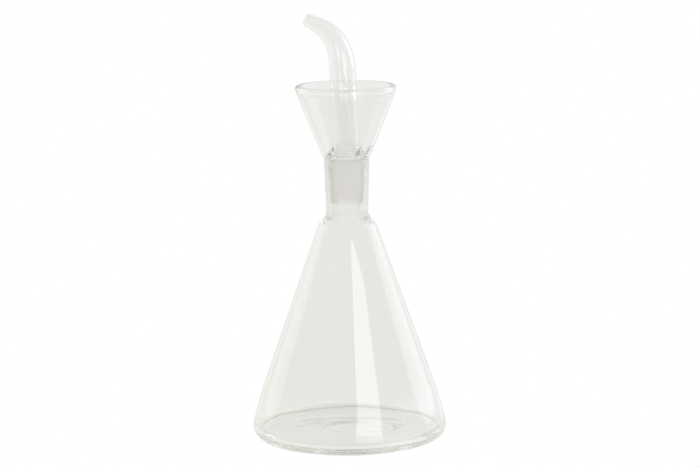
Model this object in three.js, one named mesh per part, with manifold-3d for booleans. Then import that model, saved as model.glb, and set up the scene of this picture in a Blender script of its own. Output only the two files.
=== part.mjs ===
// A glass oil cruet in two loose pieces: a conical flask whose neck is a ground socket, and a
// lift-out pourer that seats in it. The pourer is a hollow ground cone with a drip cup fused round
// its shoulder and a bent, drawn-down spout. Oil that runs down the spout collects in the cup and
// goes back to the flask through a drain hole in the shoulder.
//
// Millimetres, +Z up. The origin is the centre of the base, at the level that the flask stands on.
// The spout leans towards -X, and the drain hole is on the opposite side, at +X.

import * as THREE from 'three';
import Module from 'manifold-3d';
import { mergeVertices } from 'three/addons/utils/BufferGeometryUtils.js';

// --- Driving dimensions ---

const WALL = 1.5; // blown wall of the flask, square to the glass

const FLASK = {
  hollowRadius: 21, // inner edge of the flat ring that the flask stands on
  hollowDepth: 0.8, // how far the middle of the base is pushed up
  hollowFlat: 15, // radius of the level middle of the base
  floorHeight: 3.2, // inside floor near the wall
  floorMiddle: 3.5, // inside floor in the middle
  heelFillet: 5.2,
  heelFootRadius: 43.6, // where the line just above the heel would meet the ground
  heelSlope: 0.18, // millimetres of radius lost per millimetre of height, along that line
  coneSlope: 0.3515, // the same, over the rest of the cone
  coneFootRadius: 45.85, // where the cone's line would meet the ground
  bellyFillet: 87, // long curve between those two slopes, outside
  innerBellyFillet: 60, // the same, inside
  shoulderHeight: 94.9, // where the cone turns in to the neck
  shoulderSlope: 0.9,
  shoulderFillet: 4,
  innerShoulderDrop: 0.5, // the inside corner of the shoulder is lower, which keeps the wall even
};

const NECK = {
  seam: 96, // height at which the neck is fused to the blown cone
  radius: 9.2, // outside, at its foot
  lipRadius: 9.84, // outside, at its top
  top: 123.5,
  lipFillet: 0.8,
  footFillet: 2.2,
  groundBottom: 98.2, // lower end of the ground socket
};

const JOINT = {
  taper: 0.05, // millimetres of radius per millimetre of height: the usual 1:10 on diameter
  socketMouth: 7.93, // radius of the ground socket at the neck's top
  clearance: 0.06, // between socket and cone, so that the pourer lifts freely
};

const CONE = {
  bottom: 104.4,
  top: 123.9, // level of the drip cup's underside
  boreBottom: 4.9,
  boreTop: 5.6,
  boreShoulder: 125.8, // height at which the bore starts to narrow
  boreThroat: 129, // height at which it is as narrow as the spout's
  shoulderTop: 128.7, // height at which the outside is as narrow as the spout
  shoulderFillet: 3,
  rimFillet: 0.4,
  seamRadius: 8.4, // upright seam where the drip cup is fused on
  troughHeight: 125.2, // lowest point inside the drip cup
};

const CUP = {
  wall: 1.5, // measured level, across the sloping wall
  slope: 0.395, // millimetres of radius gained per millimetre of height
  footRadius: 10.45, // outside radius of the cup's line at its underside
  footFillet: 2.2,
  rimHeight: 154.2, // centre of the rolled rim
  rimRadius: 20.95,
  beadRadius: 1.05,
  beadDrop: 2.4, // the wall swells into the rim from this far below its centre
};

const SPOUT = {
  seam: 130.5, // height at which the tube is fused to the shoulder
  radius: 5.9,
  bore: 4.5,
  tipRadius: 2.75,
  tipBore: 1.55,
  straightEnd: new THREE.Vector2(-1.53, 162.16), // (x, z) where the bend starts
  bendHandle: new THREE.Vector2(-2.29, 177.19),
  tipHandle: new THREE.Vector2(-10.61, 179.92),
  tip: new THREE.Vector2(-19.4, 182.8),
  drawStart: 0.5, // share of the tube's length that keeps its full diameter
  drawPower: 1.35, // how gently the drawn-down stretch begins
};

const DRAIN = {
  radius: 2.0,
  centre: new THREE.Vector3(7.3, 0, 126.8),
  tilt: THREE.MathUtils.degToRad(35), // the hole points this far above level, square to the shoulder
  drillLength: 10, // half of it reaches into the bore
};

// --- Derived dimensions ---

const CONE_INSET = WALL * Math.hypot(1, FLASK.coneSlope); // the wall, measured level across the cone
const SHOULDER_INSET = WALL * Math.hypot(1, FLASK.shoulderSlope); // the same, across the shoulder
const SHOULDER_RADIUS = FLASK.coneFootRadius - FLASK.coneSlope * FLASK.shoulderHeight;

// --- Mesh detail ---

const ROUND_STEPS = 36; // facets round the flask and the pourer
const TUBE_STEPS = 20; // facets round the spout
const BEND_STEPS = 14; // rings along the bent stretch of the spout
const RIM_STEPS = 6; // facets over the rolled rim
const ARC_STEP = THREE.MathUtils.degToRad(28); // largest turn of one facet on a rounded corner
const WELD = 1e-4; // vertices closer than this become one
const SEAM_SHARE = 0.01; // rings below this share of the spout's length are on its seam

// --- Finishes ---

const clearGlass = () =>
  new THREE.MeshStandardMaterial({ color: 0xf2f5f3, roughness: 0.03, metalness: 0 });
const groundGlass = () =>
  new THREE.MeshStandardMaterial({ color: 0xdedad4, roughness: 0.55, metalness: 0 });

// --- Outlines ---

/**
 * Rounds the corners of an outline in (radius, height).
 * @param {number[][]} corners each [radius, height] or [radius, height, fillet]
 * @param {boolean} closed whether the last corner joins the first
 * @returns {THREE.Vector2[]} the points of the outline
 */
function roundCorners(corners, closed) {
  const at = (i) => new THREE.Vector2(...corners[(i + corners.length) % corners.length]);
  const points = [];
  corners.forEach(([, , fillet = 0], i) => {
    const here = at(i);
    if (fillet === 0) {
      points.push(here);
      return;
    }
    const back = at(i - 1).sub(here).normalize();
    const ahead = at(i + 1).sub(here).normalize();
    const halfAngle = Math.acos(back.dot(ahead)) / 2;
    const middle = back.clone().add(ahead).normalize();
    const centre = here.clone().addScaledVector(middle, fillet / Math.sin(halfAngle));
    const start = here.clone().addScaledVector(back, fillet / Math.tan(halfAngle)).sub(centre);
    const end = here.clone().addScaledVector(ahead, fillet / Math.tan(halfAngle)).sub(centre);
    const turn = Math.atan2(start.cross(end), start.dot(end));
    const steps = Math.max(1, Math.ceil(Math.abs(turn) / ARC_STEP));
    for (let k = 0; k <= steps; k += 1) {
      points.push(start.clone().rotateAround(new THREE.Vector2(), (turn * k) / steps).add(centre));
    }
  });
  return closed ? [...points, points[0].clone()] : points;
}

/** Turns an outline round the Z axis. */
function revolve(points, steps = ROUND_STEPS) {
  return new THREE.LatheGeometry(points, steps).rotateX(Math.PI / 2);
}

/** The height at which two straight lines radius = foot - slope * height cross. */
function crossing(footA, slopeA, footB, slopeB) {
  return (footA - footB) / (slopeA - slopeB);
}

/** Radius of the ground socket at a height. */
function socketRadius(height) {
  return JOINT.socketMouth - JOINT.taper * (NECK.top - height);
}

/** Radius of the ground cone at a height. */
function coneRadius(height) {
  return socketRadius(height) - JOINT.clearance;
}

// --- Solids ---

/** A manifold-3d solid from a closed three.js geometry. */
function toSolid(wasm, geometry) {
  const bare = geometry.clone();
  bare.deleteAttribute('normal');
  bare.deleteAttribute('uv');
  const merged = mergeVertices(bare, WELD);
  const index = merged.index.array;
  const corners = [];
  for (let i = 0; i < index.length; i += 3) {
    const [a, b, c] = index.slice(i, i + 3);
    if (a !== b && b !== c && c !== a) {
      corners.push(a, b, c);
    }
  }
  const mesh = new wasm.Mesh({
    numProp: 3,
    vertProperties: new Float32Array(merged.attributes.position.array),
    triVerts: new Uint32Array(corners),
  });
  return new wasm.Manifold(mesh);
}

/** A three.js geometry from a manifold-3d solid. */
function toGeometry(solid) {
  const mesh = solid.getMesh();
  const geometry = new THREE.BufferGeometry();
  geometry.setAttribute('position', new THREE.BufferAttribute(mesh.vertProperties, 3));
  geometry.setIndex(new THREE.BufferAttribute(mesh.triVerts, 1));
  geometry.computeVertexNormals();
  return geometry;
}

// --- The flask ---

/** Radius of the shoulder's line, outside or inside, at a height. */
function shoulderRadius(height, inset) {
  return SHOULDER_RADIUS - inset - FLASK.shoulderSlope * (height - FLASK.shoulderHeight);
}

/** The blown cone with its thick base, open at the top where the neck is fused on. */
function flaskBody() {
  const heelFoot = FLASK.heelFootRadius;
  const belly = crossing(FLASK.coneFootRadius, FLASK.coneSlope, heelFoot, FLASK.heelSlope);
  const outerCone = (z) => FLASK.coneFootRadius - FLASK.coneSlope * z;
  const innerCone = (z) => outerCone(z) - CONE_INSET;
  const innerShoulder = FLASK.shoulderHeight - FLASK.innerShoulderDrop;
  const innerHeel = heelFoot - WALL - FLASK.heelSlope * FLASK.floorHeight;
  const outside = [
    [0, FLASK.hollowDepth],
    [FLASK.hollowFlat, FLASK.hollowDepth],
    [FLASK.hollowRadius, 0],
    [heelFoot, 0, FLASK.heelFillet],
    [heelFoot - FLASK.heelSlope * belly, belly, FLASK.bellyFillet],
    [SHOULDER_RADIUS, FLASK.shoulderHeight, FLASK.shoulderFillet],
    [shoulderRadius(NECK.seam, 0), NECK.seam],
  ];
  const inside = [
    [shoulderRadius(NECK.seam, SHOULDER_INSET), NECK.seam],
    [innerCone(innerShoulder), innerShoulder, FLASK.shoulderFillet - WALL],
    [innerCone(belly), belly, FLASK.innerBellyFillet],
    [innerHeel, FLASK.floorHeight, FLASK.heelFillet - WALL],
    [FLASK.hollowFlat, FLASK.floorMiddle],
    [0, FLASK.floorMiddle],
  ];
  return revolve(roundCorners([...outside, ...inside], false));
}

/** The neck, with its ground, tapered bore. */
function neckSocket() {
  const foot = FLASK.shoulderHeight + (SHOULDER_RADIUS - NECK.radius) / FLASK.shoulderSlope;
  return revolve(
    roundCorners(
      [
        [shoulderRadius(NECK.seam, 0), NECK.seam],
        [NECK.radius, foot, NECK.footFillet],
        [NECK.lipRadius, NECK.top, NECK.lipFillet],
        [socketRadius(NECK.top), NECK.top, NECK.lipFillet],
        [socketRadius(NECK.groundBottom), NECK.groundBottom],
        [shoulderRadius(NECK.seam, SHOULDER_INSET), NECK.seam],
      ],
      true,
    ),
  );
}

// --- The pourer ---

/** The ground cone and its shoulder, with the drain hole drilled through the shoulder. */
function groundCone(wasm) {
  const body = revolve(
    roundCorners(
      [
        [coneRadius(CONE.bottom), CONE.bottom, CONE.rimFillet],
        [coneRadius(NECK.top), NECK.top],
        [CONE.seamRadius, CONE.top],
        [CONE.seamRadius, CONE.troughHeight],
        [SPOUT.radius, CONE.shoulderTop, CONE.shoulderFillet],
        [SPOUT.radius, SPOUT.seam],
        [SPOUT.bore, SPOUT.seam],
        [SPOUT.bore, CONE.boreThroat],
        [CONE.boreTop, CONE.boreShoulder, CONE.rimFillet],
        [CONE.boreBottom, CONE.bottom, CONE.rimFillet],
      ],
      true,
    ),
  );
  const drill = new THREE.CylinderGeometry(DRAIN.radius, DRAIN.radius, DRAIN.drillLength, TUBE_STEPS);
  drill.rotateX(Math.PI / 2);
  drill.rotateY(Math.PI / 2 - DRAIN.tilt);
  drill.translate(...DRAIN.centre.toArray());
  return toGeometry(toSolid(wasm, body).subtract(toSolid(wasm, drill)));
}

/** The funnel round the spout, with its rolled rim. */
function dripCup() {
  const outer = (z) => CUP.footRadius + CUP.slope * (z - CONE.top);
  const lean = Math.atan(CUP.slope);
  const rim = [];
  for (let k = 0; k <= RIM_STEPS; k += 1) {
    const angle = -lean + ((Math.PI + 2 * lean) * k) / RIM_STEPS;
    rim.push([
      CUP.rimRadius + CUP.beadRadius * Math.cos(angle),
      CUP.rimHeight + CUP.beadRadius * Math.sin(angle),
    ]);
  }
  const beadFoot = CUP.rimHeight - CUP.beadDrop;
  return revolve(
    roundCorners(
      [
        [CONE.seamRadius, CONE.top],
        [outer(CONE.top), CONE.top, CUP.footFillet],
        [outer(beadFoot), beadFoot],
        ...rim,
        [outer(beadFoot) - CUP.wall, beadFoot],
        [outer(CONE.troughHeight) - CUP.wall, CONE.troughHeight],
        [CONE.seamRadius, CONE.troughHeight],
      ],
      true,
    ),
  );
}

/** The centreline of the spout, from its seam to its tip, in the XZ plane. */
function spoutLine() {
  const line = new THREE.CurvePath();
  line.add(new THREE.LineCurve(new THREE.Vector2(0, SPOUT.seam), SPOUT.straightEnd));
  line.add(
    new THREE.CubicBezierCurve(SPOUT.straightEnd, SPOUT.bendHandle, SPOUT.tipHandle, SPOUT.tip),
  );
  return line;
}

/** How far the spout is drawn down at a share of its length: 0 at full size, 1 at the tip. */
function drawDown(share) {
  return Math.max(0, (share - SPOUT.drawStart) / (1 - SPOUT.drawStart)) ** SPOUT.drawPower;
}

/** The spout: a straight tube drawn down to its tip, then bent along its centreline. */
function spoutTube() {
  const line = spoutLine();
  const length = line.getLength();
  const outer = (share) => THREE.MathUtils.lerp(SPOUT.radius, SPOUT.tipRadius, drawDown(share));
  const bore = (share) => THREE.MathUtils.lerp(SPOUT.bore, SPOUT.tipBore, drawDown(share));
  const shares = [0];
  for (let k = 0; k <= BEND_STEPS; k += 1) {
    shares.push(THREE.MathUtils.lerp(SPOUT.drawStart, 1, k / BEND_STEPS));
  }
  const outline = [
    ...shares.map((share) => new THREE.Vector2(outer(share), share * length)),
    ...shares.reverse().map((share) => new THREE.Vector2(bore(share), share * length)),
  ];
  outline.push(outline[0].clone());
  const tube = revolve(outline, TUBE_STEPS);
  const place = tube.attributes.position;
  for (let i = 0; i < place.count; i += 1) {
    const share = THREE.MathUtils.clamp(place.getZ(i) / length, 0, 1);
    const centre = line.getPointAt(share);
    const atSeam = share < SEAM_SHARE; // the end on the shoulder is cut level
    const along = atSeam ? new THREE.Vector2(0, 1) : line.getTangentAt(share);
    const across = place.getX(i);
    place.setXYZ(i, centre.x + across * along.y, place.getY(i), centre.y - across * along.x);
  }
  tube.computeVertexNormals();
  return tube;
}

// --- The object ---

const wasm = await Module();
wasm.setup();

/** One named part. */
function part(name, geometry, material) {
  const mesh = new THREE.Mesh(geometry, material);
  mesh.name = name;
  return mesh;
}

const flask = new THREE.Group();
flask.add(part('flask_body', flaskBody(), clearGlass()));
flask.add(part('neck_socket', neckSocket(), groundGlass()));

const pourer = new THREE.Group();
pourer.add(part('ground_cone', groundCone(wasm), groundGlass()));
pourer.add(part('drip_cup', dripCup(), clearGlass()));
pourer.add(part('spout_tube', spoutTube(), clearGlass()));

const cruet = new THREE.Group();
cruet.add(flask, pourer);

export default cruet;
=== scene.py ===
"""A glass oil cruet: a conical flask with a ground neck, and a lift-out pourer with a drip cup.

Each of the two loose pieces is one continuous body of glass, because its parts are fused in the
flame. Lengths are in metres, +Z is up, and the origin is the centre of the base, as in the frame.
"""

import logging
import math
from collections.abc import Callable
from dataclasses import dataclass, field, replace
from enum import Enum

import bmesh
import bpy
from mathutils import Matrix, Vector


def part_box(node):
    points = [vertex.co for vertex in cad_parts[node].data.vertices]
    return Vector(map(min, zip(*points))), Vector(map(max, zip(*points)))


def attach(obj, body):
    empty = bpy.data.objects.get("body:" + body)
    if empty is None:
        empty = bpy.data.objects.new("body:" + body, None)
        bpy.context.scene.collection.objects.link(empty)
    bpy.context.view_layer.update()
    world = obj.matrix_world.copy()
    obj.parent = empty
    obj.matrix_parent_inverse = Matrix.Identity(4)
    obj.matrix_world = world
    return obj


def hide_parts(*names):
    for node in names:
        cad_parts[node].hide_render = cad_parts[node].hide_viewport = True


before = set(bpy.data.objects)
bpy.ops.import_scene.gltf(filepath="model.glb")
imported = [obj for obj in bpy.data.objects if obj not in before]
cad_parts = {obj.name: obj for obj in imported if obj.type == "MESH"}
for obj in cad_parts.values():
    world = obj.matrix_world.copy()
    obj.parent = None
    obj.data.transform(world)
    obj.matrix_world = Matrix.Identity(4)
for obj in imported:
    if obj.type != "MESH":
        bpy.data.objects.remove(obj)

LOG = logging.getLogger("cruet")
MM = 0.001
WELD = 0.002 * MM  # vertices closer than this become one
NONE_TO_ALL = (0.0, 1.0)
ZONE_SLACK = 0.2 * MM  # how far a face may be off the shape that decides its zone
ARC_STEP = math.radians(6)  # largest turn between two points of a rounded corner
RING_SLACK = 0.01 * MM  # how far a vertex may be off its ring
SMOOTH_ANGLE = math.radians(40)  # edges that turn more than this stay sharp
Pair = tuple[float, float]
Triple = tuple[float, float, float]
Colour = tuple[float, float, float, float]
Outline = list[Pair]
Station = tuple[float, Vector, Vector]  # length from the spout's foot, centre, direction


class Zone(Enum):
    """A stretch of glass with its own finish; the value is its place among a piece's slots."""

    CLEAR = 0
    GROUND = 1
    BEAD = 2
    BASE = 3
    # the inside corner of the base, whose glass is darkened with painted shade
    CORNER = 4
    SPOUT = 5
    NECK = 6
    HEEL = 7


# --- Finishes ---


class NodeBench:
    """Adds and joins the nodes of one material or world."""

    def __init__(self, tree: bpy.types.NodeTree) -> None:
        """Empties the tree.

        Args:
            tree: the node tree to build in.
        """
        self.tree = tree
        self.tree.nodes.clear()

    def add(self, kind: str, **settings: object) -> bpy.types.Node:
        """Adds a node and sets its options and unlinked inputs.

        Args:
            kind: the node's type name.
            settings: node options by attribute name, or inputs as in_NAME with _ for a space.

        Returns:
            The new node.
        """
        node = self.tree.nodes.new(kind)
        for name, value in settings.items():
            if name.startswith("in_"):
                node.inputs[name[3:].replace("_", " ")].default_value = value
            else:
                setattr(node, name, value)
        return node

    def join(self, source: bpy.types.NodeSocket, target: bpy.types.NodeSocket) -> None:
        """Links an output socket to an input socket."""
        self.tree.links.new(source, target)

    def noise(self, scale: float, stretch: Triple, detail: float) -> bpy.types.NodeSocket:
        """Noise on Object coordinates.

        Args:
            scale: features per metre.
            stretch: how much each axis is scaled before the noise is read.
            detail: octaves of finer noise.

        Returns:
            The noise value, about 0.5 on average.
        """
        place = self.add("ShaderNodeTexCoord")
        mapping = self.add("ShaderNodeMapping")
        mapping.inputs["Scale"].default_value = stretch
        noise = self.add("ShaderNodeTexNoise", in_Scale=scale, in_Detail=detail)
        self.join(place.outputs["Object"], mapping.inputs["Vector"])
        self.join(mapping.outputs["Vector"], noise.inputs["Vector"])
        return noise.outputs["Fac"]

    def spread(self, source: bpy.types.NodeSocket, low: Pair, high: Pair) -> bpy.types.NodeSocket:
        """Maps a value smoothly.

        Args:
            source: the value's socket.
            low: (value, result) at the low end.
            high: (value, result) at the high end.

        Returns:
            The mapped value.
        """
        ramp = self.add("ShaderNodeMapRange", interpolation_type="SMOOTHSTEP")
        for name, value in zip(("From Min", "To Min", "From Max", "To Max"), (*low, *high)):
            ramp.inputs[name].default_value = value
        self.join(source, ramp.inputs["Value"])
        return ramp.outputs["Result"]

    def blend(
        self,
        share: bpy.types.NodeSocket,
        low: Colour | bpy.types.NodeSocket,
        high: Colour | bpy.types.NodeSocket,
    ) -> bpy.types.NodeSocket:
        """Mixes two colours.

        Args:
            share: the share of the second colour, from 0 to 1.
            low: the first colour, or its socket.
            high: the second colour, or its socket.

        Returns:
            The mixed colour.
        """
        mix = self.add("ShaderNodeMix", data_type="RGBA")
        self.join(share, mix.inputs[0])
        for colour, target in zip((low, high), mix.inputs[6:8]):
            if isinstance(colour, tuple):
                target.default_value = colour
            else:
                self.join(colour, target)
        return mix.outputs[2]

    def combine(
        self, operation: str, first: bpy.types.NodeSocket, second: bpy.types.NodeSocket
    ) -> bpy.types.NodeSocket:
        """Works out one value from two.

        Args:
            operation: what is done with them, such as MAXIMUM or MULTIPLY.
            first: the first value's socket.
            second: the second value's socket.

        Returns:
            The result.
        """
        result = self.add("ShaderNodeMath", operation=operation)
        self.join(first, result.inputs[0])
        self.join(second, result.inputs[1])
        return result.outputs["Value"]

    def levelness(self) -> bpy.types.NodeSocket:
        """How level a face lies: 1 if it faces straight up or down, and 0 if it stands upright."""
        split = self.add("ShaderNodeSeparateXYZ")
        self.join(self.add("ShaderNodeTexCoord").outputs["Normal"], split.inputs["Vector"])
        size = self.add("ShaderNodeMath", operation="ABSOLUTE")
        self.join(split.outputs["Z"], size.inputs[0])
        return size.outputs["Value"]

    def bump(
        self, height: bpy.types.NodeSocket, distance: float, under: bpy.types.NodeSocket | None = None
    ) -> bpy.types.NodeSocket:
        """Turns a height from 0 to 1 into a bent normal.

        Args:
            height: the height's socket.
            distance: how high 1 stands, in metres.
            under: the normal of a coarser bump that this one lies on.

        Returns:
            The bent normal.
        """
        bump = self.add("ShaderNodeBump", in_Strength=1.0, in_Distance=distance)
        self.join(height, bump.inputs["Height"])
        if under is not None:
            self.join(under, bump.inputs["Normal"])
        return bump.outputs["Normal"]


def start_glass(name: str, ior: float) -> tuple[bpy.types.Material, NodeBench, bpy.types.Node]:
    """Starts a material that is nothing but glass.

    Args:
        name: the material's name.
        ior: the glass's index of refraction.

    Returns:
        The material, the bench for its nodes, and its shader.
    """
    made = bpy.data.materials.new(name)
    made.use_nodes = True
    bench = NodeBench(made.node_tree)
    shader = bench.add(
        "ShaderNodeBsdfPrincipled", in_IOR=ior, in_Metallic=0.0, in_Transmission_Weight=1.0
    )
    output = bench.add("ShaderNodeOutputMaterial")
    bench.join(shader.outputs["BSDF"], output.inputs["Surface"])
    return made, bench, shader


@dataclass(frozen=True)
class ClearGlass:
    """Colourless borosilicate glass, fire polished, with the faint waves of blown work, and painted
    shade that darkens it where a face turns from the eye.
    """

    name: str = "clear_glass"
    ior: float = 1.474
    tint: Colour = (0.950, 0.950, 0.942, 1.0)
    streak_tint: Colour = (0.960, 0.960, 0.954, 1.0)
    # painted shade at the silhouettes: partly the long path through the wall seen edge-on, partly the
    # dark surroundings that the glass shows there
    painted_edge_shade: Colour = (0.45, 0.46, 0.43, 1.0)
    edge_start: float = 0.76  # how far a face turns from the eye before its painted edge shade begins
    edge_upright: float = 1.0  # how much of the painted edge shade is left where a face stands upright
    upright_fade: Pair = (0.35, 0.8)  # how level a face is where that share starts and stops rising
    wave_scale: float = 45.0
    wave_stretch: Triple = (1.0, 1.0, 0.6)
    wave_height: float = 0.04 * MM
    cord_scale: float = 220.0
    cord_stretch: Triple = (1.0, 1.0, 0.08)
    cord_height: float = 0.001 * MM
    roughness: Pair = (0.0, 0.02)
    dull_fade: Pair = (0.45, 0.8)  # wave heights between which the roughness rises

    def material(self) -> bpy.types.Material:
        """Builds the material.

        Returns:
            A clear glass surface.
        """
        made, bench, shader = start_glass(self.name, self.ior)
        waves = bench.noise(self.wave_scale, self.wave_stretch, 1.0)
        cords = bench.noise(self.cord_scale, self.cord_stretch, 2.0)
        # Painted edge shade: the glass's colour is darkened where a face turns from the eye, and upright
        # faces can be spared.
        facing = bench.add("ShaderNodeLayerWeight", in_Blend=0.5).outputs["Facing"]
        turned = bench.spread(facing, (self.edge_start, 0.0), (1.0, 1.0))
        start, end = self.upright_fade
        level = bench.spread(bench.levelness(), (start, self.edge_upright), (end, 1.0))
        edge = bench.combine("MULTIPLY", turned, level)
        tint = bench.blend(cords, self.tint, self.streak_tint)
        bench.join(bench.blend(edge, tint, self.painted_edge_shade), shader.inputs["Base Color"])
        dull = bench.spread(waves, *zip(self.dull_fade, self.roughness))
        bench.join(dull, shader.inputs["Roughness"])
        rolling = bench.bump(waves, self.wave_height)
        bench.join(bench.bump(cords, self.cord_height, rolling), shader.inputs["Normal"])
        return made


@dataclass(frozen=True)
class GroundGlass:
    """The frosted faces of a ground joint: fine grit marks that run round the joint."""

    name: str = "ground_glass"
    ior: float = 1.474
    tint: Colour = (1.0, 0.99, 0.97, 1.0)
    pale_tint: Colour = (1.0, 0.995, 0.985, 1.0)
    grit_scale: float = 2600.0
    grit_height: float = 0.00005 * MM
    ring_scale: float = 900.0
    ring_stretch: Triple = (0.12, 0.12, 1.0)
    roughness: Pair = (0.285, 0.32)
    dull_fade: Pair = (0.3, 0.7)  # ring heights between which the roughness rises

    def material(self) -> bpy.types.Material:
        """Builds the material.

        Returns:
            A rough glass surface with faint rings from the grinding.
        """
        made, bench, shader = start_glass(self.name, self.ior)
        grit = bench.noise(self.grit_scale, (1.0, 1.0, 1.0), 3.0)
        rings = bench.noise(self.ring_scale, self.ring_stretch, 2.0)
        bench.join(bench.blend(rings, self.tint, self.pale_tint), shader.inputs["Base Color"])
        dull = bench.spread(rings, *zip(self.dull_fade, self.roughness))
        bench.join(dull, shader.inputs["Roughness"])
        bench.join(bench.bump(grit, self.grit_height), shader.inputs["Normal"])
        return made


# --- Shaping glass ---


class Corner:
    """One corner of an outline in (radius, height), with the fillet that rounds it."""

    def __init__(self, radius: float, height: float, fillet: float = 0.0) -> None:
        """Places the corner.

        Args:
            radius: distance from the axis.
            height: height above the ground.
            fillet: radius of the arc that rounds the corner, or 0 for a sharp one.
        """
        self.point = Vector((radius, height))
        self.fillet = fillet


def round_off(corners: list[Corner]) -> Outline:
    """Rounds the corners of an open outline, all but its first and last.

    Args:
        corners: the corners in order.

    Returns:
        The points of the outline.
    """
    points: Outline = []
    last = len(corners) - 1
    for i, corner in enumerate(corners):
        if not corner.fillet or i in (0, last):
            points.append(tuple(corner.point))
            continue
        back = (corners[i - 1].point - corner.point).normalized()
        ahead = (corners[i + 1].point - corner.point).normalized()
        half = back.angle(ahead) / 2
        centre = corner.point + (back + ahead).normalized() * corner.fillet / math.sin(half)
        start = corner.point + back * corner.fillet / math.tan(half) - centre
        turn = -start.angle_signed(corner.point + ahead * corner.fillet / math.tan(half) - centre)
        steps = max(1, math.ceil(abs(turn) / ARC_STEP))
        for k in range(steps + 1):
            angle = math.atan2(start.y, start.x) + turn * k / steps
            spot = centre + Vector((math.cos(angle), math.sin(angle))) * corner.fillet
            points.append(tuple(spot))
    return points


def divide(points: Outline, longest: float) -> Outline:
    """Splits the long stretches of an outline.

    Args:
        points: the outline.
        longest: the longest stretch that is left whole.

    Returns:
        The outline with points added evenly on its long stretches.
    """
    fine = points[:1]
    for start, end in zip(points, points[1:]):
        steps = max(1, math.ceil(math.dist(start, end) / longest))
        for k in range(1, steps + 1):
            fine.append(tuple(Vector(start).lerp(Vector(end), k / steps)))
    return fine


def spin_glass(name: str, points: Outline, steps: int) -> bpy.types.Object:
    """Draws an outline point by point and spins it round the Z axis.

    Args:
        name: the new object's name.
        points: the outline, which closes on itself or starts and ends on the axis.
        steps: how many slices the spin makes.

    Returns:
        A closed body with its faces pointing out.
    """
    bpy.ops.object.select_all(action="DESELECT")
    bpy.ops.mesh.primitive_plane_add(size=MM, location=(points[0][0], 0, points[0][1]))
    piece = bpy.context.object
    piece.name = name
    bpy.ops.object.mode_set(mode="EDIT")
    bpy.ops.mesh.select_mode(type="VERT")
    bpy.ops.mesh.merge(type="CENTER")
    for start, end in zip(points, points[1:]):
        move = (end[0] - start[0], 0, end[1] - start[1])
        bpy.ops.mesh.extrude_vertices_move(TRANSFORM_OT_translate={"value": move})
    bpy.ops.mesh.select_all(action="SELECT")
    bpy.ops.mesh.spin(
        steps=steps, angle=math.tau, center=(0, 0, 0), axis=(0, 0, 1), use_auto_merge=True
    )
    bpy.ops.mesh.select_all(action="SELECT")
    bpy.ops.mesh.remove_doubles(threshold=WELD)
    bpy.ops.mesh.normals_make_consistent(inside=False)
    bpy.ops.object.mode_set(mode="OBJECT")
    bpy.ops.object.transform_apply(location=True, rotation=True, scale=True)
    piece.data.name = name
    return piece


def select_vertices(piece: bpy.types.Object, chosen: set[int]) -> None:
    """Selects some vertices in edit mode, and nothing else.

    Args:
        piece: the object being edited.
        chosen: the indices of the vertices.
    """
    shape = bmesh.from_edit_mesh(piece.data)
    shape.verts.ensure_lookup_table()
    for vertex in shape.verts:
        vertex.select = vertex.index in chosen
    shape.select_flush_mode()
    bmesh.update_edit_mesh(piece.data)


def dress(
    piece: bpy.types.Object, finishes: list[bpy.types.Material], zone_at: Callable[[Vector], Zone]
) -> None:
    """Gives a piece its finishes.

    Args:
        piece: the glass.
        finishes: its materials, in the order of Zone.
        zone_at: gives the zone of a face from its centre.
    """
    piece.data.materials.clear()
    for finish in finishes:
        piece.data.materials.append(finish)
    for face in piece.data.polygons:
        face.material_index = zone_at(face.center).value
    bpy.ops.object.select_all(action="DESELECT")
    piece.select_set(True)
    bpy.context.view_layer.objects.active = piece
    bpy.ops.object.shade_smooth_by_angle(angle=SMOOTH_ANGLE)


@dataclass
class Joint:
    """The ground joint: one taper, shared by the neck's socket and the pourer's cone."""

    taper: float = 0.05
    mouth_radius: float = 7.93 * MM
    mouth_height: float = field(default_factory=lambda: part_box("neck_socket")[1].z)
    socket_bottom: float = 98.2 * MM
    cone_bottom: float = field(default_factory=lambda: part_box("ground_cone")[0].z)
    clearance: float = 0.06 * MM

    def socket(self, height: float) -> float:
        """Radius of the socket at a height."""
        return self.mouth_radius - self.taper * (self.mouth_height - height)

    def cone(self, height: float) -> float:
        """Radius of the cone at a height."""
        return self.socket(height) - self.clearance


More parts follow.
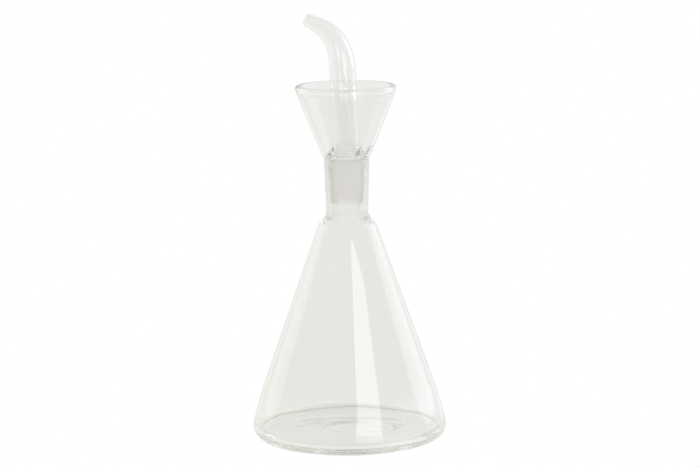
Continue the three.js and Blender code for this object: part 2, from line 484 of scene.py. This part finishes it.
@dataclass
class Flask:
    """The blown cone with its thick base, and the neck with its ground bore."""

    joint: Joint
    wall: float = 1.5 * MM
    slices: int = 192
    heel_radius: float = field(default_factory=lambda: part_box("flask_body")[1].x - 0.01 * MM)
    heel_fillet: float = 5.2 * MM
    heel_slope: float = 0.18
    cone_foot: float = 45.85 * MM
    cone_slope: float = 0.3515
    belly_fillet: float = 87 * MM
    belly_fillet_inside: float = 60 * MM
    shoulder_height: float = 94.9 * MM
    shoulder_slope: float = 0.9
    shoulder_fillet: float = 4 * MM
    neck_radius: float = 9.2 * MM
    lip_radius: float = 9.84 * MM
    lip_fillet: float = 0.85 * MM
    foot_fillet: float = 2.2 * MM
    inner_shoulder_drop: float = 0.5 * MM
    bore_foot_drop: float = 0.4 * MM  # how far the ground bore runs on below the socket
    bore_foot_fillet: float = 1.2 * MM
    hollow_depth: float = 0.8 * MM  # how far the middle of the base is pushed up
    hollow_edge: float = 27 * MM
    hollow_fillet: float = 6 * MM
    corner_inside: float = 38.9 * MM  # the corner where the wall rises from the inside floor, darkened with painted shade
    corner_outside: float = 40.8 * MM
    corner_height: float = 1.0 * MM
    heel_foot: float = 0.2 * MM  # where the heel's finish starts, just above the ground
    neck_drop: float = 1.0 * MM  # how far the neck's finish reaches below the shoulder
    mark_radius: float = 16.4 * MM  # the mark is a shallow groove under the base
    mark_width: float = 0.5 * MM
    mark_fillet: float = 0.2 * MM
    mark_edge_fillet: float = 0.3 * MM
    mark_depth: float = 0.18 * MM
    mark_flatness: float = 0.5
    mark_turn: float = math.radians(31)
    mark_shift: float = 5.2 * MM
    floor_height: float = 3.2 * MM
    floor_rise: float = 0.3 * MM  # how much higher the inside floor is in the middle
    bow_radius: float = 20 * MM  # where most of that rise is done
    bow_rise: float = 0.25 * MM
    bow_fillet: float = 60 * MM
    longest_stretch: float = 2.5 * MM

    def cone(self, height: float, inset: float = 0.0) -> float:
        """Radius of the cone at a height, less an inset measured square to the glass."""
        return self.cone_foot - self.cone_slope * height - inset * math.hypot(1, self.cone_slope)

    def shoulder(self, height: float, inset: float = 0.0) -> float:
        """Radius of the shoulder at a height, less an inset measured square to the glass."""
        drop = self.shoulder_slope * (height - self.shoulder_height)
        return self.cone(self.shoulder_height) - drop - inset * math.hypot(1, self.shoulder_slope)

    def outline(self) -> Outline:
        """The flask's outline, from the middle of its base up the outside and down the inside."""
        stretch = math.hypot(1, self.heel_slope) - 1
        foot = self.heel_radius + self.heel_fillet * (self.heel_slope + stretch)
        belly = (self.cone_foot - foot) / (self.cone_slope - self.heel_slope)
        neck_rise = (self.shoulder(self.shoulder_height) - self.neck_radius) / self.shoulder_slope
        inner_shoulder = self.shoulder_height - self.inner_shoulder_drop
        bore_foot = self.joint.socket_bottom - self.bore_foot_drop
        outside = [
            Corner(0, self.hollow_depth),
            Corner(self.mark_radius - self.mark_width, self.hollow_depth, self.mark_edge_fillet),
            Corner(self.mark_radius, self.hollow_depth + self.mark_depth, self.mark_fillet),
            Corner(self.mark_radius + self.mark_width, self.hollow_depth, self.mark_edge_fillet),
            Corner(self.hollow_edge, 0, self.hollow_fillet),
            Corner(foot, 0, self.heel_fillet),
            Corner(foot - self.heel_slope * belly, belly, self.belly_fillet),
            Corner(self.cone(self.shoulder_height), self.shoulder_height, self.shoulder_fillet),
            Corner(self.neck_radius, self.shoulder_height + neck_rise, self.foot_fillet),
            Corner(self.lip_radius, self.joint.mouth_height, self.lip_fillet),
        ]
        inside = [
            Corner(self.joint.mouth_radius, self.joint.mouth_height, self.lip_fillet),
            Corner(self.joint.socket(bore_foot), bore_foot, self.bore_foot_fillet),
            Corner(
                self.cone(inner_shoulder, self.wall),
                inner_shoulder,
                self.shoulder_fillet - self.wall,
            ),
            Corner(self.cone(belly, self.wall), belly, self.belly_fillet_inside),
            Corner(
                foot - self.wall - self.heel_slope * self.floor_height,
                self.floor_height,
                self.heel_fillet - self.wall,
            ),
            Corner(self.bow_radius, self.floor_height + self.bow_rise, self.bow_fillet),
            Corner(0, self.floor_height + self.floor_rise),
        ]
        return divide(round_off(outside + inside), self.longest_stretch)

    def zone_at(self, spot: Vector) -> Zone:
        """Gives the zone of a face of the flask.

        Args:
            spot: the middle of the face.

        Returns:
            GROUND in the neck's bore, NECK round it, CLEAR on the cone, and three zones in the thick
            base; CORNER, its inside corner, is darkened with painted shade.
        """
        radius = math.hypot(spot.x, spot.y)
        low, high = self.joint.socket_bottom - ZONE_SLACK, self.joint.mouth_height - self.lip_fillet
        if low < spot.z < high and radius < self.joint.mouth_radius:
            return Zone.GROUND
        if spot.z > self.shoulder_height - self.neck_drop:
            return Zone.NECK
        if spot.z > self.floor_height + self.corner_height:
            return Zone.CLEAR
        if radius > self.corner_outside and spot.z > self.heel_foot:
            return Zone.HEEL
        inside = spot.z > self.floor_height - ZONE_SLACK
        in_corner = inside and self.corner_inside < radius < self.corner_outside
        return Zone.CORNER if in_corner else Zone.BASE

    def place_mark(self, piece: bpy.types.Object) -> None:
        """Moves the mark under the base off centre and flattens it to an oval.

        Args:
            piece: the flask with its round mark.
        """
        reach = self.mark_radius + self.mark_width + self.mark_edge_fillet
        mark = {
            vertex.index
            for vertex in piece.data.vertices
            if vertex.co.z < self.hollow_depth + self.mark_depth and math.hypot(*vertex.co.xy) < reach
        }
        bpy.context.view_layer.objects.active = piece
        bpy.ops.object.mode_set(mode="EDIT")
        select_vertices(piece, mark)
        bpy.ops.transform.resize(value=(1, self.mark_flatness, 1), center_override=(0, 0, 0))
        bpy.ops.transform.rotate(value=-self.mark_turn, orient_axis="Z", center_override=(0, 0, 0))
        turn = self.mark_turn
        shift = (self.mark_shift * math.cos(turn), self.mark_shift * math.sin(turn), 0)
        bpy.ops.transform.translate(value=shift)
        bpy.ops.object.mode_set(mode="OBJECT")

    def build(self, finishes: list[bpy.types.Material]) -> bpy.types.Object:
        """Makes the flask.

        Args:
            finishes: the materials, in the order of Zone.

        Returns:
            The finished piece, riding on the flask body.
        """
        piece = spin_glass("flask_glass", self.outline(), self.slices)
        self.place_mark(piece)
        dress(piece, finishes, self.zone_at)
        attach(piece, "flask")
        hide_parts("flask_body", "neck_socket")
        return piece


@dataclass
class Pourer:
    """The ground cone, its shoulder with the drain hole, the drip cup and the bent spout."""

    joint: Joint
    slices: int = 128
    cup_base: float = field(default_factory=lambda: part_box("drip_cup")[0].z)
    trough_height: float = 125.2 * MM
    trough_edges: Pair = (9.4 * MM, 8.5 * MM)  # radii of the outer and inner edge of its floor
    trough_fillet: float = 0.5 * MM
    seat_drop: float = 0.4 * MM  # the cone ends this far below the cup
    seat_fillet: float = 0.15 * MM
    seat_step: float = 0.5 * MM
    seat_step_fillet: float = 0.3 * MM
    cup_wall: float = 1.5 * MM
    cup_slope: float = 0.395
    cup_foot: float = 10.45 * MM
    cup_foot_fillet: float = 2.2 * MM
    rim_height: float = 154.05 * MM
    rim_radius: float = 20.76 * MM
    bead_radius: float = 1.19 * MM
    bead_drop: float = 2.4 * MM
    bore_bottom: float = 4.9 * MM
    bore_top: float = 5.6 * MM
    bore_shoulder: float = 125.8 * MM
    bore_shoulder_fillet: float = 1.5 * MM
    bore_throat: float = 129 * MM
    bore_throat_fillet: float = 2 * MM
    shoulder_top: float = 128.7 * MM
    shoulder_fillet: float = 3 * MM
    tube_foot: float = field(default_factory=lambda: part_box("spout_tube")[0].z)
    tube_radius: float = field(default_factory=lambda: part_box("spout_tube")[1].y)
    tube_bore: float = 4.5 * MM
    tip_radius: float = 2.74 * MM
    tip_bore: float = 1.55 * MM
    tip_lip: tuple[Pair, ...] = ((0.1 * MM, 0.05 * MM), (0.35 * MM, 0))  # (inset, drop) at its edge
    straight_steps: int = 16
    bend_steps: int = 56
    rim_steps: int = 24
    longest_stretch: float = 2 * MM
    draw_start: float = 0.5
    draw_power: float = 1.35
    bend_start: Pair = (-1.53 * MM, 162.16 * MM)
    bend_handle: Pair = (-2.29 * MM, 177.19 * MM)
    tip_handle: Pair = (-10.61 * MM, 179.90 * MM)
    tip: Pair = (-19.4 * MM, 182.76 * MM)
    drain_radius: float = 2.0 * MM
    drain_centre: Triple = (7.3 * MM, 0.0, 126.8 * MM)
    drain_tilt: float = math.radians(35)
    drill_length: float = 10 * MM
    drill_sides: int = 64
    ground_start: float = 0.4 * MM  # how far the ground finish stays off the cone's foot
    ground_end: float = 0.3 * MM  # and off the cup
    bead_margin: float = 0.1 * MM
    spout_margin: float = 2 * MM  # the spout leans, so its finish reaches this far past its radius

    def cup(self, height: float) -> float:
        """Outside radius of the cup's wall at a height."""
        return self.cup_foot + self.cup_slope * (height - self.cup_base)

    def centreline(self, share: float) -> tuple[Vector, Vector]:
        """Follows the spout's centreline, in the XZ plane.

        Args:
            share: how far up the bent stretch, from 0 at its start to 1 at the tip.

        Returns:
            The point as (x, z) and the unit direction as (x, z).
        """
        a, b, c, d = (Vector(p) for p in (self.bend_start, self.bend_handle, self.tip_handle, self.tip))
        rest = 1 - share
        point = a * rest**3 + b * 3 * rest**2 * share + c * 3 * rest * share**2 + d * share**3
        slope = (b - a) * rest**2 + (c - b) * 2 * rest * share + (d - c) * share**2
        return point, slope.normalized()

    def stations(self) -> list[Station]:
        """The places of the rings along the whole spout, straight and bent."""
        foot = Vector((0.0, self.tube_foot))
        bend = Vector(self.bend_start)
        rows = []
        for k in range(1, self.straight_steps):
            centre = foot.lerp(bend, k / self.straight_steps)
            rows.append((centre, (bend - foot).normalized()))
        rows += [self.centreline(k / self.bend_steps) for k in range(self.bend_steps + 1)]
        length, last, stations = 0.0, foot, []
        for centre, direction in rows:
            length += (centre - last).length
            last = centre
            stations.append((length, centre, direction))
        return stations

    def drawn(self, full: float, tip: float, share: float) -> float:
        """Draws the spout down towards its tip.

        Args:
            full: a radius where the spout has its full width.
            tip: the same radius at the tip.
            share: how far up the spout, from 0 to 1.

        Returns:
            The radius there.
        """
        pull = max(0.0, (share - self.draw_start) / (1 - self.draw_start)) ** self.draw_power
        return full + (tip - full) * pull

    def rim(self) -> Outline:
        """The rolled rim of the cup, from its outside over the top to its inside."""
        lean = math.atan(self.cup_slope)
        points = []
        for k in range(self.rim_steps + 1):
            angle = -lean + (math.pi + 2 * lean) * k / self.rim_steps
            radius = self.rim_radius + self.bead_radius * math.cos(angle)
            points.append((radius, self.rim_height + self.bead_radius * math.sin(angle)))
        return points

    def outline(self, stations: list[Station]) -> Outline:
        """The pourer's outline with its spout still straight, closed on itself.

        Args:
            stations: the rings along the spout.

        Returns:
            The points, from the foot of the cone up the outside and down the bore.
        """
        joint, base, foot = self.joint, self.cup_base, self.rim_height - self.bead_drop
        trough_outside, trough_inside = self.trough_edges
        end = stations[-1][0]
        outer, bore = [], []
        for length, _, _ in stations[:-1]:
            share = length / end
            outer.append((self.drawn(self.tube_radius, self.tip_radius, share), self.tube_foot + length))
            bore.append((self.drawn(self.tube_bore, self.tip_bore, share), self.tube_foot + length))
        cone_side = [
            Corner(joint.cone(joint.cone_bottom), joint.cone_bottom),
            Corner(joint.cone(base - self.seat_drop), base - self.seat_drop, self.seat_fillet),
            Corner(joint.cone(base) + self.seat_step, base, self.seat_step_fillet),
            Corner(self.cup(base), base, self.cup_foot_fillet),
            Corner(self.cup(foot), foot),
        ]
        trough_side = [
            Corner(self.cup(foot) - self.cup_wall, foot),
            Corner(trough_outside, self.trough_height, self.trough_fillet),
            Corner(trough_inside, self.trough_height, self.trough_fillet),
            Corner(self.tube_radius, self.shoulder_top, self.shoulder_fillet),
            Corner(self.tube_radius, self.tube_foot),
        ]
        bore_side = [
            Corner(self.tube_bore, self.tube_foot),
            Corner(self.tube_bore, self.bore_throat, self.bore_throat_fillet),
            Corner(self.bore_top, self.bore_shoulder, self.bore_shoulder_fillet),
            Corner(self.bore_bottom, joint.cone_bottom),
        ]
        up_outside = divide(round_off(cone_side), self.longest_stretch)[:-1]
        down_trough = divide(round_off(trough_side), self.longest_stretch)
        down_bore = divide(round_off(bore_side), self.longest_stretch)
        top = self.tube_foot + end
        over = [(self.tip_radius - inset, top - drop) for inset, drop in self.tip_lip]
        into = [(self.tip_bore + inset, top - drop) for inset, drop in reversed(self.tip_lip)]
        spout = [*outer, *over, *into, *reversed(bore)]
        points = [*up_outside, *self.rim(), *down_trough, *spout, *down_bore]
        return [*points, points[0]]

    def bend(self, piece: bpy.types.Object, stations: list[Station]) -> None:
        """Bends the straight spout ring by ring onto its centreline.

        Args:
            piece: the pourer with its spout straight.
            stations: the rings along the spout.
        """
        rings: list[set[int]] = [set() for _ in stations]
        heights = [self.tube_foot + length for length, _, _ in stations]
        lowest, widest = heights[0] - RING_SLACK, self.tube_radius + RING_SLACK
        for vertex in piece.data.vertices:
            if vertex.co.z < lowest or math.hypot(*vertex.co.xy) > widest:
                continue
            nearest = min(range(len(heights)), key=lambda k: abs(heights[k] - vertex.co.z))
            rings[nearest].add(vertex.index)
        bpy.context.view_layer.objects.active = piece
        bpy.ops.object.mode_set(mode="EDIT")
        for ring, height, (_, centre, direction) in zip(rings, heights, stations):
            select_vertices(piece, ring)
            lean = math.atan2(direction.x, direction.y)
            bpy.ops.transform.rotate(
                value=-lean, orient_axis="Y", orient_type="GLOBAL", center_override=(0, 0, height)
            )
            bpy.ops.transform.translate(value=(centre.x, 0, centre.y - height))
        bpy.ops.mesh.select_all(action="SELECT")
        bpy.ops.mesh.normals_make_consistent(inside=False)
        bpy.ops.object.mode_set(mode="OBJECT")

    def drill(self, piece: bpy.types.Object) -> None:
        """Cuts the drain hole through the shoulder.

        Args:
            piece: the pourer.
        """
        bpy.ops.object.select_all(action="DESELECT")
        bpy.ops.mesh.primitive_cylinder_add(
            vertices=self.drill_sides,
            radius=self.drain_radius,
            depth=self.drill_length,
            location=self.drain_centre,
            rotation=(0, math.pi / 2 - self.drain_tilt, 0),
        )
        drill = bpy.context.object
        cut = piece.modifiers.new("drain", "BOOLEAN")
        cut.operation = "DIFFERENCE"
        cut.solver = "EXACT"
        cut.object = drill
        bpy.context.view_layer.objects.active = piece
        bpy.ops.object.modifier_apply(modifier=cut.name)
        bpy.data.objects.remove(drill)

    def zone_at(self, spot: Vector) -> Zone:
        """Gives the zone of a face of the pourer.

        Args:
            spot: the middle of the face.

        Returns:
            GROUND on the outside of the cone, NECK on its inside and foot of the cup, BEAD on the
            rim, SPOUT on the spout, and CLEAR on the cup.
        """
        radius = math.hypot(spot.x, spot.y)
        low, high = self.joint.cone_bottom + self.ground_start, self.cup_base - self.ground_end
        if low < spot.z < high and radius > self.joint.cone(spot.z) - ZONE_SLACK:
            return Zone.GROUND
        from_rim = math.hypot(radius - self.rim_radius, spot.z - self.rim_height)
        if from_rim < self.bead_radius + self.bead_margin:
            return Zone.BEAD
        if spot.z < self.tube_foot:
            return Zone.NECK
        in_spout = spot.z > self.rim_height or radius < self.tube_radius + self.spout_margin
        return Zone.SPOUT if in_spout else Zone.CLEAR

    def build(self, finishes: list[bpy.types.Material]) -> bpy.types.Object:
        """Makes the pourer.

        Args:
            finishes: the materials, in the order of Zone.

        Returns:
            The finished piece, riding on the pourer body.
        """
        stations = self.stations()
        piece = spin_glass("pourer_glass", self.outline(stations), self.slices)
        self.bend(piece, stations)
        self.drill(piece)
        dress(piece, finishes, self.zone_at)
        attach(piece, "pourer")
        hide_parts("ground_cone", "drip_cup", "spout_tube")
        return piece


# --- Studio ---


@dataclass(frozen=True)
class Softbox:
    """A soft area light that stands round the object, turned to face it."""

    name: str
    bearing: float  # degrees to the right of the camera
    reach: float
    width: float
    height: float
    middle: float  # height of its middle
    glow: float  # how bright it looks beside the white floor
    roll: float  # degrees

    def hang(self, camera_azimuth: float) -> bpy.types.Object:
        """Adds the light.

        Args:
            camera_azimuth: the camera's azimuth in degrees.

        Returns:
            The light, aimed level at the object's axis.
        """
        turn = math.radians(camera_azimuth + self.bearing)
        place = (self.reach * math.sin(turn), -self.reach * math.cos(turn), self.middle)
        upright = (math.pi / 2, 0, turn)
        bpy.ops.object.light_add(type="AREA", location=place, rotation=upright)
        light = bpy.context.object
        light.name = self.name
        light.rotation_euler.rotate_axis("Z", math.radians(self.roll))
        light.data.shape = "RECTANGLE"
        light.data.size = self.width
        light.data.size_y = self.height
        light.data.energy = self.glow * math.pi * self.width * self.height
        light.visible_camera = False
        return light


@dataclass
class Studio:
    """A white floor and sweep, side panels, a dim room in front, a softbox and the camera."""

    azimuth: float = 31.0
    elevation: float = 9.3
    distance: float = 1.12
    lens: float = 131.9
    roll: float = 0.7
    aim_height: float = 90.1 * MM
    aim_right: float = 1.1 * MM
    floor_reach: float = 30.0  # behind and beside the object
    floor_front: float = 0.6  # towards the camera
    bounces: int = 400  # thick glass guides light a long way before it lets it out
    paper: Colour = (1.0, 1.0, 1.0, 1.0)
    seen_middle: Colour = (0.887, 0.887, 0.877, 1.0)  # the sweep, where glass stands before it
    seen_left: Colour = (0.93, 0.92, 0.88, 1.0)
    seen_right: Colour = (0.96, 0.96, 0.96, 1.0)
    side_fade: Pair = (0.22, 0.6)
    panel_left: Colour = (1.16, 1.145, 1.10, 1.0)  # bright panels at the sides, in reflections
    panel_right: Colour = (1.45, 1.45, 1.45, 1.0)
    guided: Colour = (0.74, 0.735, 0.71, 1.0)  # what light that is guided inside the glass ends on
    guided_depth: Pair = (1.0, 2.0)  # reflections after which light counts as guided
    panel_edge: Pair = (0.62, 0.75)
    room: Colour = (0.65, 0.65, 0.65, 1.0)  # the camera's side of the room, in reflections
    below: Colour = (0.56, 0.56, 0.56, 1.0)  # beyond the front edge of the floor, in reflections
    ceiling: Colour = (0.75, 0.75, 0.75, 1.0)
    ceiling_edge: Pair = (0.60, 0.72)  # sine of the height where it starts
    sweep_tilt: float = math.radians(35)  # how far the middle of the bright half is raised
    sweep_turn: float = math.radians(3)  # how far it is turned to the right
    sweep_fade: Pair = (0.25, 0.30)
    floor_drop: float = 0.05 * MM  # keeps the floor off the flask's foot
    horizon_fade: Pair = (-0.01, 0.01)
    clip: Pair = (0.05, 100.0)
    softbox: Softbox = Softbox(
        "strip_softbox",
        bearing=24.4,
        reach=1.0,
        width=0.56,
        height=0.5,
        middle=0.364,
        glow=1.9,
        roll=-9,
    )

    def heading(
        self, bench: NodeBench, place: bpy.types.NodeSocket, aim: Vector
    ) -> bpy.types.NodeSocket:
        """Works out how far a direction points along another.

        Args:
            bench: the node tree's bench.
            place: the direction's socket; it is made a unit vector first.
            aim: the other direction.

        Returns:
            The cosine of the angle between the two.
        """
        unit = bench.add("ShaderNodeVectorMath", operation="NORMALIZE")
        dot = bench.add("ShaderNodeVectorMath", operation="DOT_PRODUCT")
        dot.inputs[1].default_value = aim.normalized()
        bench.join(place, unit.inputs[0])
        bench.join(unit.outputs["Vector"], dot.inputs[0])
        return dot.outputs["Value"]

    def sides(
        self,
        bench: NodeBench,
        place: bpy.types.NodeSocket,
        fade: Pair,
        colours: tuple[Colour | bpy.types.NodeSocket, Colour, Colour],
    ) -> bpy.types.NodeSocket:
        """Blends a colour into others at the camera's left and right.

        Args:
            bench: the node tree's bench.
            place: a direction from the origin.
            fade: how far to the side the blend starts and ends, from 0 to 1.
            colours: the colour in the middle, at the left and at the right.

        Returns:
            The colour's socket.
        """
        a = math.radians(self.azimuth)
        across = self.heading(bench, place, Vector((math.cos(a), math.sin(a), 0)))
        start, end = fade
        left = bench.spread(across, (-end, 1.0), (-start, 0.0))
        right = bench.spread(across, (start, 0.0), (end, 1.0))
        return bench.blend(right, bench.blend(left, colours[0], colours[1]), colours[2])

    def sweep(self, bench: NodeBench, place: bpy.types.NodeSocket) -> bpy.types.NodeSocket:
        """Colours the white sweep, warmer on the left than on the right.

        Args:
            bench: the node tree's bench.
            place: where the sweep is seen, from the origin.

        Returns:
            The colour's socket.
        """
        colours = (self.seen_middle, self.seen_left, self.seen_right)
        return self.sides(bench, place, self.side_fade, colours)

    def shine(
        self, bench: NodeBench, kind: str, colour: bpy.types.NodeSocket, target: bpy.types.NodeSocket
    ) -> None:
        """Feeds an output: plain white to the eye, and a colour to light and glass.

        Args:
            bench: the node tree's bench.
            kind: the node type that gives the light.
            colour: the colour's socket.
            target: the output's socket.
        """
        path = bench.add("ShaderNodeLightPath")
        glow = bench.add(kind)
        bench.join(bench.blend(path.outputs["Is Camera Ray"], colour, self.paper), glow.inputs["Color"])
        bench.join(glow.outputs[0], target)

    def lay_floor(self) -> bpy.types.Object:
        """Adds the pale floor.

        Returns:
            The floor, which reaches far behind the object and a little way in front.
        """
        bpy.ops.object.select_all(action="DESELECT")
        middle = (self.floor_reach - self.floor_front) / 2
        a = math.radians(self.azimuth)
        bpy.ops.mesh.primitive_plane_add(
            size=self.floor_reach + self.floor_front,
            location=(-middle * math.sin(a), middle * math.cos(a), -self.floor_drop),
            rotation=(0, 0, a),
        )
        bpy.ops.object.transform_apply(location=True, rotation=True, scale=True)
        floor = bpy.context.object
        floor.name = "studio_floor"
        paint = bpy.data.materials.new("studio_floor")
        paint.use_nodes = True
        bench = NodeBench(paint.node_tree)
        output = bench.add("ShaderNodeOutputMaterial")
        place = bench.add("ShaderNodeTexCoord").outputs["Object"]
        self.shine(bench, "ShaderNodeEmission", self.sweep(bench, place), output.inputs["Surface"])
        floor.data.materials.append(paint)
        return floor

    def hang_sky(self) -> None:
        """Makes the surroundings, which depend on how light has come through the glass.

        Light that was only refracted comes from the sweep. Light reflected once comes from the
        sweep with its panels, the ceiling or the dim room, and light that was reflected more often
        has been guided inside the glass, and comes from all round.
        """
        world = bpy.data.worlds.new("studio")
        bpy.context.scene.world = world
        world.use_nodes = True
        bench = NodeBench(world.node_tree)
        output = bench.add("ShaderNodeOutputWorld")
        place = bench.add("ShaderNodeTexCoord").outputs["Generated"]
        a, tilt = math.radians(self.azimuth) - self.sweep_turn, self.sweep_tilt
        middle = Vector((-math.sin(a) * math.cos(tilt), math.cos(a) * math.cos(tilt), math.sin(tilt)))
        rise = self.heading(bench, place, Vector((0, 0, 1)))
        reflected = bench.add("ShaderNodeLightPath").outputs["Glossy Depth"]
        direct = bench.spread(reflected, (0.0, 1.0), (1.0, 0.0))
        behind = bench.spread(self.heading(bench, place, middle), *zip(self.sweep_fade, NONE_TO_ALL))
        overhead = bench.spread(rise, *zip(self.ceiling_edge, NONE_TO_ALL))
        above_floor = bench.spread(rise, *zip(self.horizon_fade, NONE_TO_ALL))
        guided = bench.spread(reflected, *zip(self.guided_depth, NONE_TO_ALL))
        sweep = self.sweep(bench, place)
        panels = self.sides(bench, place, self.panel_edge, (sweep, self.panel_left, self.panel_right))
        around = bench.blend(behind, self.room, panels)
        around = bench.blend(direct, around, sweep)
        around = bench.blend(overhead, around, self.ceiling)
        around = bench.blend(bench.combine("MAXIMUM", above_floor, direct), self.below, around)
        around = bench.blend(guided, around, self.guided)
        self.shine(bench, "ShaderNodeBackground", around, output.inputs["Surface"])

    def place_camera(self) -> bpy.types.Object:
        """Adds the camera at the viewing angle and makes it the scene's.

        Returns:
            The camera.
        """
        a, e = math.radians(self.azimuth), math.radians(self.elevation)
        back = Vector((math.sin(a) * math.cos(e), -math.cos(a) * math.cos(e), math.sin(e)))
        right = Vector((math.cos(a), math.sin(a), 0))
        aim = Vector((0, 0, self.aim_height)) + right * self.aim_right
        bpy.ops.object.camera_add(location=aim + back * self.distance)
        camera = bpy.context.object
        camera.rotation_euler = (-back).to_track_quat("-Z", "Y").to_euler()
        camera.rotation_euler.rotate_axis("Z", -math.radians(self.roll))
        camera.data.lens = self.lens
        camera.data.clip_start, camera.data.clip_end = self.clip
        bpy.context.scene.camera = camera
        return camera

    def build(self) -> None:
        """Sets up the whole studio."""
        scene = bpy.context.scene
        scene.view_settings.view_transform = "Standard"
        scene.cycles.max_bounces = self.bounces
        scene.cycles.transmission_bounces = self.bounces
        scene.cycles.glossy_bounces = self.bounces
        self.place_camera()
        self.lay_floor()
        self.hang_sky()
        self.softbox.hang(self.azimuth)


def choose_glass() -> dict[Zone, ClearGlass | GroundGlass]:
    """The finish of each zone."""
    calm = ClearGlass(wave_height=0.004 * MM, cord_height=0.0001 * MM)
    return {
        Zone.CLEAR: ClearGlass(),
        Zone.GROUND: GroundGlass(),
        # Painted shade on the bead: dark lines along its level top and bottom that stand in for
        # reflections of the dark room and ceiling.
        Zone.BEAD: ClearGlass(
            "bead_glass", painted_edge_shade=(0.20, 0.20, 0.19, 1.0), edge_start=0.35, edge_upright=0.1
        ),
        Zone.BASE: replace(
            calm,
            name="base_glass",
            tint=(0.88, 0.88, 0.862, 1.0),
            streak_tint=(0.90, 0.90, 0.885, 1.0),
        ),
        # Painted shade: a dark ring at the inside corner of the base, where the wall rises from the
        # floor.
        Zone.CORNER: ClearGlass(
            "corner_shade_glass", tint=(0.55, 0.56, 0.53, 1.0), streak_tint=(0.70, 0.71, 0.68, 1.0)
        ),
        Zone.SPOUT: ClearGlass(
            "spout_glass", tint=(0.972, 0.972, 0.966, 1.0), streak_tint=(0.98, 0.98, 0.975, 1.0)
        ),
        Zone.NECK: replace(
            calm, name="neck_glass", painted_edge_shade=(0.88, 0.88, 0.87, 1.0), roughness=(0.03, 0.06)
        ),
        Zone.HEEL: replace(
            calm,
            name="heel_glass",
            tint=(0.74, 0.745, 0.69, 1.0),
            streak_tint=(0.80, 0.805, 0.76, 1.0),
            roughness=(0.03, 0.06),
        ),
    }


def main() -> None:
    """Builds the two pieces of glass and the studio, and reports each."""
    logging.basicConfig(level=logging.INFO, format="%(name)s: %(message)s")
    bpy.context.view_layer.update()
    glass = choose_glass()
    finishes = [glass[zone].material() for zone in Zone]
    joint = Joint()
    for maker in (Flask(joint), Pourer(joint)):
        piece = maker.build(finishes)
        LOG.info("%s: %d faces", piece.name, len(piece.data.polygons))
    Studio().build()


if __name__ == "__main__":
    main()
